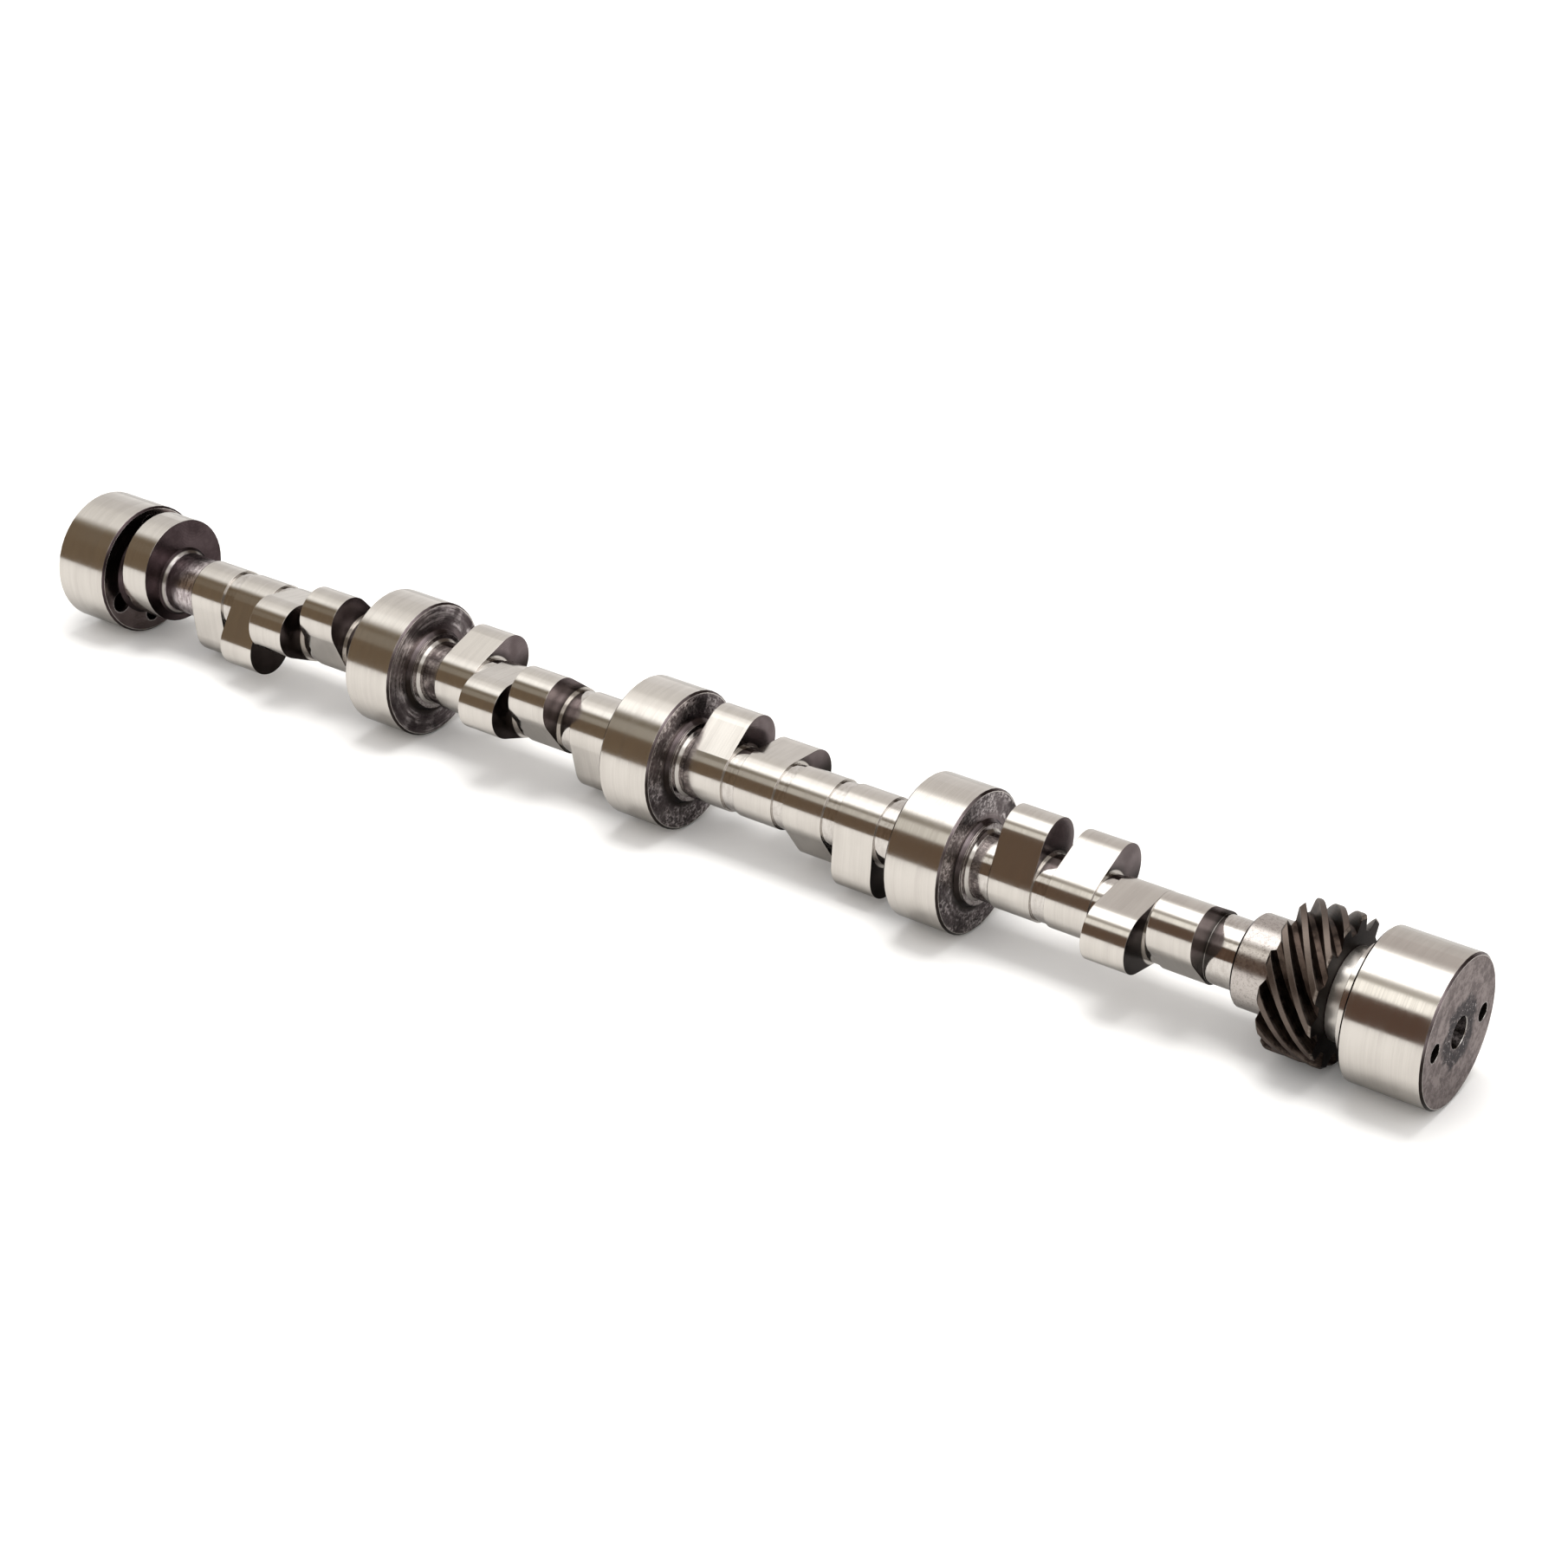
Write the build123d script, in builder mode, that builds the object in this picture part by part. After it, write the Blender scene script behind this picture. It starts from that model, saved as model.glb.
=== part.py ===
from build123d import *
from math import cos, radians, sin, tan
import os

os.makedirs("parts", exist_ok=True)

# Roller camshaft for a ninety-degree eight-cylinder pushrod engine, turned and ground from one forging.
# The shaft axis is +X, from the sprocket end to the rear. X = 0 is the front face, +Z is up.
# Angles about the shaft are measured from +Y towards +Z. All sizes are in millimetres.

# ---- bearing journals ----
journal_radius = 23.73          # 1.8685 inch across
bore_pitch = 111.76             # 4.400 inch from one pair of cylinders to the next
front_journal_width = 23.6
middle_journal_width = 20.0
rear_journal_width = 26.0
front_bay_length = 152.5        # front face to the centre of the second journal
rear_bay_length = 157.48        # centre of the fourth journal to the centre of the rear one
journal_chamfer = 0.7

# ---- shaft between the journals ----
shaft_radius = 10.8
collar_radius = 13.3            # low turned collar at each side of a middle journal
collar_width = 2.0
collar_slope = 1.2              # between the journal's side and the collar
neck_slope = 0.9                # between the collar and the shaft
front_neck_radius = 14.5        # short neck behind the front journal
front_neck_slope = 1.8

# ---- cam lobes ----
base_radius = 11.43             # 0.900 inch base circle
nose_radius = 9.7
lobe_lift = 10.8
lobe_width = 14.9
early_lobe_distance = 22.66     # centre of the journal in front to a bay's first lobe
late_lobe_distance = 27.5       # the same, in every second bay
lobe_pitch = 20.1               # between two like lobes
middle_lobe_pitch = 19.3        # between the second and third lobe of a bay
firing_order = [1, 8, 7, 3, 6, 5, 4, 2]
bays = [
    ["E1", "E2", "I1", "I2"],
    ["I3", "I4", "E3", "E4"],
    ["E5", "E6", "I5", "I6"],
    ["I7", "I8", "E7", "E8"],
]                               # exhaust (E) or intake (I) lobe of each cylinder, front to back
bank_angle = 42.0               # each bank's lifters lean this far from upright
lobe_separation = 107.0         # intake nose behind exhaust nose
shaft_turn = 226.0              # how far the shaft is turned as it lies

# ---- fuel pump eccentric ----
eccentric_radius = 18.9
eccentric_offset = 4.1
eccentric_turn = 86.0
eccentric_gap = 5.5             # behind the front journal
eccentric_width = 11.5
eccentric_slope = 1.8           # into the shaft behind it

# ---- distributor drive gear ----
gear_teeth = 13
gear_radius = 23.3
tooth_depth = 4.4
gear_width = 17.6
gear_gap = 8.8                  # ahead of the rear journal
gear_lead_length = 88.0         # travel along the shaft in one full turn of a tooth
gear_bevel = 0.8
gap_floor = 1.7                 # width of a tooth gap at its floor, square to the tooth
gap_mouth = 4.1                 # the same at the tips
gear_turn = 3.2
hub_radius = 14.6
hub_length = 39.6               # from the rear journal forward, under the gear
hub_corner = 0.8
rear_collar_radius = 17.4       # between the hub and the rear journal
rear_collar_width = 3.7
rear_collar_slope = 1.0         # from the hub up to the collar

# ---- front end ----
pilot_radius = 12.5             # raised boss that centres the sprocket
pilot_length = 5.0
pilot_chamfer = 0.8
bolt_circle_radius = 17.0
bolt_count = 3
bolt_hole_radius = 3.3          # tapping size for a 5/16 inch coarse thread
bolt_hole_break = 0.4           # at the front face
bolt_mouth_radius = 3.97        # where a hole comes out behind the journal
bolt_turn = 205.0
dowel_radius = 3.97             # 5/16 inch dowel
dowel_seat_depth = 14.0
knock_out_radius = 3.0

# ---- rear end ----
drive_hole_radius = 2.9
drive_hole_pitch = 31.6
drive_hole_depth = 14.0
drive_hole_turn = 175.0

# ---- centre drilling in each end ----
centre_mouth_radius = 5.1
centre_drill_radius = 1.6
centre_drill_depth = 5.0
centre_cone_angle = 60.0
drill_point_angle = 118.0

# ---- stations along the shaft ----
middle_centres = [front_bay_length + n * bore_pitch for n in range(len(bays) - 1)]
middle_faces = [c + side * middle_journal_width / 2 for c in middle_centres for side in (-1, 1)]
collar_ends = [
    c + side * (middle_journal_width / 2 + collar_width) for c in middle_centres for side in (-1, 1)
]
rear_journal_start = middle_centres[-1] + rear_bay_length - rear_journal_width / 2
rear_face = rear_journal_start + rear_journal_width
eccentric_start = front_journal_width + eccentric_gap
eccentric_end = eccentric_start + eccentric_width
hub_start = rear_journal_start - hub_length
rear_collar_start = rear_journal_start - rear_collar_width
gear_start = rear_journal_start - gear_gap - gear_width

lobe_steps = [
    0,
    lobe_pitch,
    lobe_pitch + middle_lobe_pitch,
    lobe_pitch + middle_lobe_pitch + lobe_pitch,
]
first_lobes = [
    front_bay_length + (n - 1) * bore_pitch + (late_lobe_distance if n % 2 else early_lobe_distance)
    for n in range(len(bays))
]
nose_offset = base_radius + lobe_lift - nose_radius
gear_root_radius = gear_radius - tooth_depth
same = 0.01                     # two places closer than this are one


def across(x, angle=0, forward=False):
    """Plane square to the shaft at station x, its own X turned to that angle about the shaft."""
    return Plane(
        origin=(x, 0, 0),
        x_dir=(0, cos(radians(angle)), sin(radians(angle))),
        z_dir=(-1 if forward else 1, 0, 0),
    )


def nose_angle(lobe):
    """Direction of a lobe's nose, from its cylinder's place in the firing order."""
    cylinder = int(lobe[1])
    bank = bank_angle if cylinder % 2 else -bank_angle
    behind = lobe_separation if lobe[0] == "I" else 0
    return shaft_turn + bank - 360 / len(firing_order) * firing_order.index(cylinder) - behind


def corners(sketch, radius, stations):
    """Corners of a half-profile that lie at one radius and at any of the stations."""
    return [
        corner
        for corner in sketch.vertices()
        if abs(corner.Y - radius) < same and min(abs(corner.X - x) for x in stations) < same
    ]


def point_depth(radius):
    """How far a drill of that radius reaches past the full width of its hole."""
    return radius / tan(radians(drill_point_angle / 2))


def turned_cutter(*outline):
    """Cutter that points along +Z, from the (radius, depth) corners of its outline after the origin."""
    with BuildPart() as cutter:
        with BuildSketch(Plane.XZ):
            with BuildLine():
                Polyline((0, 0), *outline, close=True)
            make_face()
        revolve(axis=Axis.Z)
    return cutter.part


# one lobe, lying across +Z with its nose towards +X: two circles and the flats that join them
with BuildPart() as lobe:
    with BuildSketch():
        Circle(base_radius)
        with Locations((nose_offset, 0)):
            Circle(nose_radius)
        make_hull()
    extrude(amount=lobe_width)

# one tooth gap of the drive gear, wound about +Z from below the blank to above it
gap_overrun = 3.0
gap_slope = (gap_mouth - gap_floor) / 2 / tooth_depth
gap_top = tooth_depth + gap_overrun / 2
with BuildPart() as tooth_gap:
    with BuildLine() as wind:
        Helix(
            gear_lead_length,
            gear_width + 2 * gap_overrun,
            gear_root_radius,
            center=(0, 0, -gap_overrun),
        )
    with BuildSketch(Plane(origin=wind.line @ 0, x_dir=(1, 0, 0), z_dir=wind.line % 0)):
        with BuildLine():
            Polyline(
                (0, -gap_floor / 2),
                (gap_top, -gap_floor / 2 - gap_slope * gap_top),
                (gap_top, gap_floor / 2 + gap_slope * gap_top),
                (0, gap_floor / 2),
                close=True,
            )
        make_face()
    sweep(path=wind.line, is_frenet=True)

# the gear blank with its tooth gaps cut, still upright on +Z
with BuildPart() as drive_gear:
    with BuildSketch():
        Circle(gear_radius)
    extrude(amount=gear_width)
    chamfer(drive_gear.edges(), length=gear_bevel)
    with PolarLocations(0, gear_teeth):
        add(tooth_gap.part, mode=Mode.SUBTRACT)

# tapped hole right through the front journal, both mouths broken
bolt_cutter = turned_cutter(
    (bolt_hole_radius + bolt_hole_break, 0),
    (bolt_hole_radius, bolt_hole_break),
    (bolt_hole_radius, front_journal_width - bolt_mouth_radius + bolt_hole_radius),
    (bolt_mouth_radius, front_journal_width),
    (0, front_journal_width),
)

# dowel's seat, with a smaller knock-out hole behind it
dowel_cutter = turned_cutter(
    (dowel_radius, 0),
    (dowel_radius, dowel_seat_depth),
    (knock_out_radius, dowel_seat_depth),
    (knock_out_radius, front_journal_width),
    (0, front_journal_width),
)

# centre drilling: a cone for the machine centre, then a narrow relief with its drill point
cone_depth = (centre_mouth_radius - centre_drill_radius) / tan(radians(centre_cone_angle / 2))
centre_drill_end = cone_depth + centre_drill_depth
centre_cutter = turned_cutter(
    (centre_mouth_radius, 0),
    (centre_drill_radius, cone_depth),
    (centre_drill_radius, centre_drill_end),
    (0, centre_drill_end + point_depth(centre_drill_radius)),
)

# drive hole in the rear face, with its drill point
drive_cutter = turned_cutter(
    (drive_hole_radius, 0),
    (drive_hole_radius, drive_hole_depth),
    (0, drive_hole_depth + point_depth(drive_hole_radius)),
)

# lengths turned round the shaft axis: where each starts, where it ends and its radius
turned = [
    (-pilot_length, 0, pilot_radius),
    (0, front_journal_width, journal_radius),
    (front_journal_width, eccentric_start + eccentric_width / 2, front_neck_radius),
    (eccentric_start, rear_journal_start, shaft_radius),
    (hub_start, rear_journal_start, hub_radius),
    (rear_collar_start, rear_journal_start, rear_collar_radius),
    (rear_journal_start, rear_face, journal_radius),
]
for centre in middle_centres:
    half_width = middle_journal_width / 2
    turned.append((centre - half_width - collar_width, centre + half_width + collar_width, collar_radius))
    turned.append((centre - half_width, centre + half_width, journal_radius))

journal_faces = [0, front_journal_width, rear_journal_start, rear_face] + middle_faces

with BuildPart() as camshaft:
    with BuildSketch(Plane.XZ) as half_profile:
        for start, end, radius in turned:
            with Locations((start, 0)):
                Rectangle(end - start, radius, align=(Align.MIN, Align.MIN))
        chamfer(corners(half_profile, journal_radius, journal_faces), length=journal_chamfer)
        chamfer(corners(half_profile, pilot_radius, [-pilot_length]), length=pilot_chamfer)
        chamfer(corners(half_profile, collar_radius, middle_faces), length=collar_slope)
        chamfer(corners(half_profile, shaft_radius, collar_ends), length=neck_slope)
        chamfer(corners(half_profile, front_neck_radius, [front_journal_width]), length=front_neck_slope)
        chamfer(corners(half_profile, hub_radius, [hub_start]), length=hub_corner)
        chamfer(corners(half_profile, hub_radius, [rear_collar_start]), length=rear_collar_slope)
    revolve(axis=Axis.X)

    # fuel pump eccentric
    with BuildSketch(across(eccentric_start, eccentric_turn)):
        with Locations((eccentric_offset, 0)):
            Circle(eccentric_radius)
    extrude(amount=eccentric_width)
    eccentric_foot = (
        camshaft.edges()
        .filter_by(GeomType.CIRCLE)
        .filter_by(lambda edge: abs(edge.radius - shaft_radius) < same)
        .filter_by_position(Axis.X, eccentric_end - same, eccentric_end + same)
    )
    chamfer(eccentric_foot, length=eccentric_slope)

    # lobes, four to a bay
    for first, row in zip(first_lobes, bays):
        for name, step in zip(row, lobe_steps):
            with Locations(across(first + step - lobe_width / 2, nose_angle(name))):
                add(lobe.part)

    # distributor drive gear
    with Locations(across(gear_start, gear_turn)):
        add(drive_gear.part)

    # sprocket bolt holes, and the dowel's hole midway between two of them
    with Locations(across(0, bolt_turn)):
        with PolarLocations(bolt_circle_radius, bolt_count):
            add(bolt_cutter, mode=Mode.SUBTRACT)
    with Locations(across(0, bolt_turn + 180 / bolt_count)):
        with Locations((bolt_circle_radius, 0)):
            add(dowel_cutter, mode=Mode.SUBTRACT)

    # drive holes in the rear face
    with Locations(across(rear_face, drive_hole_turn, forward=True)):
        with PolarLocations(drive_hole_pitch / 2, 2):
            add(drive_cutter, mode=Mode.SUBTRACT)

    # centre drillings
    with Locations(across(-pilot_length), across(rear_face, forward=True)):
        add(centre_cutter, mode=Mode.SUBTRACT)

camshaft.part.label = "camshaft"
export_step(camshaft.part, "parts/camshaft.step")
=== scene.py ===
import logging
import math
from dataclasses import dataclass
from enum import Enum
from typing import Any, Iterable, Mapping, Protocol, Sequence, Union

import bpy
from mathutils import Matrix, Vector

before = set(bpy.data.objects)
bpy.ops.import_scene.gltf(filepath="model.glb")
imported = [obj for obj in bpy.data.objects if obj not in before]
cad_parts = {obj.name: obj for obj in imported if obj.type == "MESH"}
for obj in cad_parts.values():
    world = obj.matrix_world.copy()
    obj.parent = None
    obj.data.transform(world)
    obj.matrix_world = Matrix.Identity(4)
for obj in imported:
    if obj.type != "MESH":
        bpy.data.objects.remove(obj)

log = logging.getLogger("camshaft")

MM = 0.001
SHAFT_NODE = "camshaft"

# Millimetres along the shaft and from its axis, and degrees round it.
JOURNAL_SIDES = (142.5, 162.5, 254.26, 274.26, 366.02, 386.02)
BOLT_CIRCLE = 17.0
BOLT_TURNS = (205.0, 325.0, 85.0)
DOWEL_TURN = 265.0
DRIVE_CIRCLE = 15.8
DRIVE_TURNS = (175.0, 355.0)

Triple = tuple[float, float, float]
Colour = Triple
Pair = tuple[float, float]
Bands = tuple[tuple[float, Colour], ...]


class Maths(Enum):
    """Operations of a Math node that are used here."""

    ADD = "ADD"
    SUBTRACT = "SUBTRACT"
    MULTIPLY = "MULTIPLY"
    DIVIDE = "DIVIDE"
    ABSOLUTE = "ABSOLUTE"
    MINIMUM = "MINIMUM"
    MAXIMUM = "MAXIMUM"
    SINE = "SINE"
    ROOT = "SQRT"
    ANGLE = "ARCTAN2"


class Step(Enum):
    """How a value rises from 0 to 1."""

    SMOOTH = "SMOOTHSTEP"
    STRAIGHT = "LINEAR"


@dataclass(frozen=True)
class Wire:
    """A shader socket that can be written into Python expressions."""

    graph: "Graph"
    socket: bpy.types.NodeSocket

    def __add__(self, other: "Term") -> "Wire":
        """Sum of two values."""
        return self.graph.maths(Maths.ADD, self, other)

    def __radd__(self, other: "Term") -> "Wire":
        """Sum with a number on the left."""
        return self.graph.maths(Maths.ADD, other, self)

    def __sub__(self, other: "Term") -> "Wire":
        """Difference of two values."""
        return self.graph.maths(Maths.SUBTRACT, self, other)

    def __rsub__(self, other: "Term") -> "Wire":
        """Difference with a number on the left."""
        return self.graph.maths(Maths.SUBTRACT, other, self)

    def __mul__(self, other: "Term") -> "Wire":
        """Product of two values."""
        return self.graph.maths(Maths.MULTIPLY, self, other)

    def __rmul__(self, other: "Term") -> "Wire":
        """Product with a number on the left."""
        return self.graph.maths(Maths.MULTIPLY, other, self)

    def __truediv__(self, other: "Term") -> "Wire":
        """Quotient of two values."""
        return self.graph.maths(Maths.DIVIDE, self, other)

    def __rtruediv__(self, other: "Term") -> "Wire":
        """Quotient with a number on the left."""
        return self.graph.maths(Maths.DIVIDE, other, self)

    def __abs__(self) -> "Wire":
        """Size of a value, without its sign."""
        return self.graph.maths(Maths.ABSOLUTE, self)

    def least(self, other: "Term") -> "Wire":
        """Smaller of two values."""
        return self.graph.maths(Maths.MINIMUM, self, other)

    def most(self, other: "Term") -> "Wire":
        """Larger of two values."""
        return self.graph.maths(Maths.MAXIMUM, self, other)

    def sine(self) -> "Wire":
        """Sine of a value in radians."""
        return self.graph.maths(Maths.SINE, self)

    def root(self) -> "Wire":
        """Square root of a value."""
        return self.graph.maths(Maths.ROOT, self)

    def lifted(self, least: float) -> "Wire":
        """A value from 0 to 1 squeezed in between a least value and 1."""
        return least + self * (1 - least)

    def step(self, shape: Step, low: float, high: float) -> "Wire":
        """Step from 0 to 1.

        Args:
            shape: How the value rises.
            low: The value where the step starts.
            high: The value where the step ends. It may be below low, and the step then falls.

        Returns:
            The step as a wire between 0 and 1.
        """
        node = self.graph.node(
            "ShaderNodeMapRange",
            {"interpolation_type": shape.value},
            {"Value": self, "From Min": low, "From Max": high, "To Min": 0.0, "To Max": 1.0},
        )
        return Wire(self.graph, node.outputs["Result"])

    def rise(self, low: float, high: float) -> "Wire":
        """Smooth step from 0 at low to 1 at high."""
        return self.step(Step.SMOOTH, low, high)

    def slope(self, low: float, high: float) -> "Wire":
        """Straight step from 0 at low to 1 at high."""
        return self.step(Step.STRAIGHT, low, high)

    def within(self, low: float, high: float, blur: float) -> "Wire":
        """Mask of the values between two limits.

        Args:
            low: The lower limit.
            high: The upper limit.
            blur: How wide each edge of the mask is.

        Returns:
            A wire that is 1 between the limits and 0 outside.
        """
        half = blur / 2
        return self.rise(low - half, low + half) * self.rise(high + half, high - half)


Term = Union[Wire, int, float]


class Graph:
    """Adds nodes to one node tree."""

    def __init__(self, tree: bpy.types.NodeTree) -> None:
        """Start from an empty tree.

        Args:
            tree: The tree to fill. What it holds is cleared.
        """
        tree.nodes.clear()
        self.tree = tree

    def node(
        self,
        kind: str,
        settings: Mapping[str, Any] | None = None,
        sockets: Mapping[str | int, Any] | None = None,
    ) -> bpy.types.Node:
        """Add one node.

        Args:
            kind: The node's type.
            settings: The node's own settings, which are set first. "stops" fills a ramp.
            sockets: The values or links of its input sockets, by name or place.

        Returns:
            The new node.
        """
        made = self.tree.nodes.new(kind)
        for name, value in (settings or {}).items():
            if name == "stops":
                self._fill_ramp(made.color_ramp, value)
            else:
                setattr(made, name, value)
        for key, value in (sockets or {}).items():
            target = made.inputs[key]
            if isinstance(value, Wire):
                self.tree.links.new(value.socket, target)
            elif isinstance(value, bpy.types.NodeSocket):
                self.tree.links.new(value, target)
            elif isinstance(value, tuple) and target.type == "RGBA":
                target.default_value = (*value, 1.0)
            else:
                target.default_value = value
        return made

    @staticmethod
    def _fill_ramp(ramp: bpy.types.ColorRamp, stops: Sequence[tuple[float, Colour]]) -> None:
        """Give a ramp its stops.

        Args:
            ramp: The ramp, which starts with two stops.
            stops: Each stop's place from 0 to 1 and its colour.
        """
        while len(ramp.elements) < len(stops):
            ramp.elements.new(1.0)
        for element, (place, colour) in zip(ramp.elements, stops):
            element.position = place
            element.color = (*colour, 1.0)

    def maths(self, operation: Maths, *terms: Term) -> Wire:
        """Add a Math node.

        Args:
            operation: What it works out.
            terms: Its one or two inputs.

        Returns:
            Its result.
        """
        node = self.node("ShaderNodeMath", {"operation": operation.value}, dict(enumerate(terms)))
        return Wire(self, node.outputs[0])

    def parts(self, vector: Wire | bpy.types.NodeSocket) -> tuple[Wire, Wire, Wire]:
        """Split a vector.

        Args:
            vector: The vector.

        Returns:
            Its three numbers.
        """
        node = self.node("ShaderNodeSeparateXYZ", {}, {0: vector})
        x, y, z = (Wire(self, output) for output in node.outputs)
        return x, y, z

    def stretched(self, vector: Wire | bpy.types.NodeSocket, scale: Triple) -> Wire:
        """Scale a vector by a different number on each axis.

        Args:
            vector: The vector.
            scale: The number for each axis.

        Returns:
            The scaled vector.
        """
        node = self.node("ShaderNodeVectorMath", {"operation": "MULTIPLY"}, {0: vector, 1: scale})
        return Wire(self, node.outputs["Vector"])

    def blend(self, mask: Term, under: Wire | Colour, over: Wire | Colour) -> Wire:
        """Mix two colours.

        Args:
            mask: 0 shows the first colour and 1 the second.
            under: The first colour.
            over: The second colour.

        Returns:
            The mixed colour.
        """
        sockets = {"Factor": mask, 6: under, 7: over}
        node = self.node("ShaderNodeMix", {"data_type": "RGBA"}, sockets)
        return Wire(self, node.outputs[2])


def total(wires: Iterable[Wire]) -> Wire:
    """Sum of wires.

    Args:
        wires: At least one wire.

    Returns:
        Their sum.
    """
    first, *rest = wires
    result = first
    for wire in rest:
        result = result + wire
    return result


def weighed(wires: Sequence[Wire], shares: Sequence[float]) -> Wire:
    """Sum of wires, each times its share."""
    return total(wire * share for wire, share in zip(wires, shares))


def ridges(distance: Wire, pitch: float) -> Wire:
    """Even ridges from a cutter, as a wave between 0 and 1 over that distance."""
    return (distance * (2 * math.pi / pitch)).sine() * 0.5 + 0.5


@dataclass(frozen=True)
class Place:
    """Where on the shaft a point of its surface lies, in millimetres.

    The polar vector holds its radius and then its direction from the axis. The rest are its
    distances along, behind, over and from the axis, and how nearly its surface is square to it.
    """

    point: Wire
    polar: Wire
    along: Wire
    across: Wire
    height: Wire
    radius: Wire
    squareness: Wire

    @classmethod
    def on(cls, graph: Graph) -> "Place":
        """Read the place from the object's own coordinates.

        Args:
            graph: The graph that the wires belong to.

        Returns:
            The place.
        """
        coordinates = graph.node("ShaderNodeTexCoord")
        point = graph.stretched(coordinates.outputs["Object"], (1 / MM, 1 / MM, 1 / MM))
        x, y, z = graph.parts(point)
        radius = (y * y + z * z).root()
        polar = graph.node("ShaderNodeCombineXYZ", {}, {0: radius, 1: y / radius, 2: z / radius})
        facing = graph.parts(coordinates.outputs["Normal"])[0]
        return cls(
            point=point,
            polar=Wire(graph, polar.outputs[0]),
            along=x,
            across=y,
            height=z,
            radius=radius,
            squareness=abs(facing),
        )


@dataclass(frozen=True)
class Span:
    """A stretch of the shaft, in millimetres from its front face."""

    start: float
    end: float

    def mask(self, place: Place, blur: float = 0.1) -> Wire:
        """Mask of this stretch."""
        return place.along.within(self.start, self.end, blur)


@dataclass(frozen=True)
class Stations:
    """The same short stretch at several places along the shaft."""

    places: tuple[float, ...]
    before: float
    after: float
    blur: float = 0.1

    def mask(self, place: Place) -> Wire:
        """Mask of all the stretches."""
        spans = (Span(middle - self.before, middle + self.after) for middle in self.places)
        return total(span.mask(place, self.blur) for span in spans)


@dataclass(frozen=True)
class Ring:
    """The radii between two limits."""

    inner: float
    outer: float
    blur: float = 0.1

    def mask(self, place: Place) -> Wire:
        """Mask of these radii."""
        return place.radius.within(self.inner, self.outer, self.blur)


@dataclass(frozen=True)
class Mouth:
    """The mouth of a hole that runs beside the axis."""

    circle: float
    turn: float
    radius: float
    span: Span
    width: float = 0.45
    overlap: float = 0.05
    blur: float = 0.1

    def mask(self, place: Place) -> Wire:
        """Mask of the ring round the mouth, which takes a painted highlight.

        Args:
            place: Where the surface lies.

        Returns:
            The mask.
        """
        across = place.across - self.circle * math.cos(math.radians(self.turn))
        up = place.height - self.circle * math.sin(math.radians(self.turn))
        distance = (across * across + up * up).root()
        ring = distance.within(self.radius - self.overlap, self.radius + self.width, self.blur)
        return ring * self.span.mask(place)


@dataclass(frozen=True)
class Mottle:
    """Cloudy noise over the shaft.

    The scale is clouds per millimetre, before the stretch on each axis. The detail is how many
    finer layers there are and the strength is theirs. Polar noise follows the polar vector.
    """

    scale: float = 1.0
    detail: float = 3.0
    strength: float = 0.5
    stretch: Triple | None = None
    polar: bool = False

    def wire(self, graph: Graph, place: Place) -> Wire:
        """Add the noise.

        Args:
            graph: The graph to add to.
            place: Where the surface lies.

        Returns:
            The noise between 0 and 1.
        """
        followed = place.polar if self.polar else place.point
        if self.stretch:
            followed = graph.stretched(followed, self.stretch)
        sockets = {
            "Vector": followed,
            "Scale": self.scale,
            "Detail": self.detail,
            "Roughness": self.strength,
        }
        return Wire(graph, graph.node("ShaderNodeTexNoise", {}, sockets).outputs["Fac"])


@dataclass(frozen=True)
class Skin:
    """One finish as wires, ready for a shader."""

    colour: Wire
    roughness: Wire
    height: Wire

    def under(self, other: "Skin", mask: Wire) -> "Skin":
        """Lay another finish over this one.

        Args:
            other: The finish on top.
            mask: Where it covers, from 0 to 1.

        Returns:
            The two finishes together.
        """
        graph = self.colour.graph
        bare = 1 - mask
        return Skin(
            colour=graph.blend(mask, self.colour, other.colour),
            roughness=self.roughness * bare + other.roughness * mask,
            height=self.height * bare + other.height * mask,
        )


class Finish(Protocol):
    """Anything that can make a skin for the shaft."""

    def skin(self, graph: Graph, place: Place) -> Skin:
        """Make the finish.

        Args:
            graph: The graph to add to.
            place: Where the surface lies.

        Returns:
            The finish.
        """
        ...


@dataclass(frozen=True)
class GroundSteel:
    """Bright steel, ground round the shaft, with hair lines and faint bands."""

    bright: Colour = (0.745, 0.705, 0.655)
    dull: Colour = (0.66, 0.62, 0.575)
    roughness: float = 0.12
    spread: float = 0.06
    lines: Mottle = Mottle(detail=4.0, strength=0.65, stretch=(3.0, 0.02, 0.02))
    bands: Mottle = Mottle(detail=2.0, stretch=(0.35, 0.05, 0.05))
    stains: Mottle = Mottle(scale=0.09)
    shares: Triple = (0.45, 0.35, 0.2)
    wear: Pair = (0.35, 0.62)
    line_height: float = 0.0012

    def skin(self, graph: Graph, place: Place) -> Skin:
        """Make the finish.

        Args:
            graph: The graph to add to.
            place: Where the surface lies.

        Returns:
            The finish.
        """
        lines = self.lines.wire(graph, place)
        bands = self.bands.wire(graph, place)
        stains = self.stains.wire(graph, place)
        wear = weighed((lines, bands, stains), self.shares).rise(*self.wear)
        return Skin(
            colour=graph.blend(wear, self.dull, self.bright),
            roughness=self.roughness + self.spread * (1 - wear),
            height=lines * self.line_height,
        )


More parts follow.
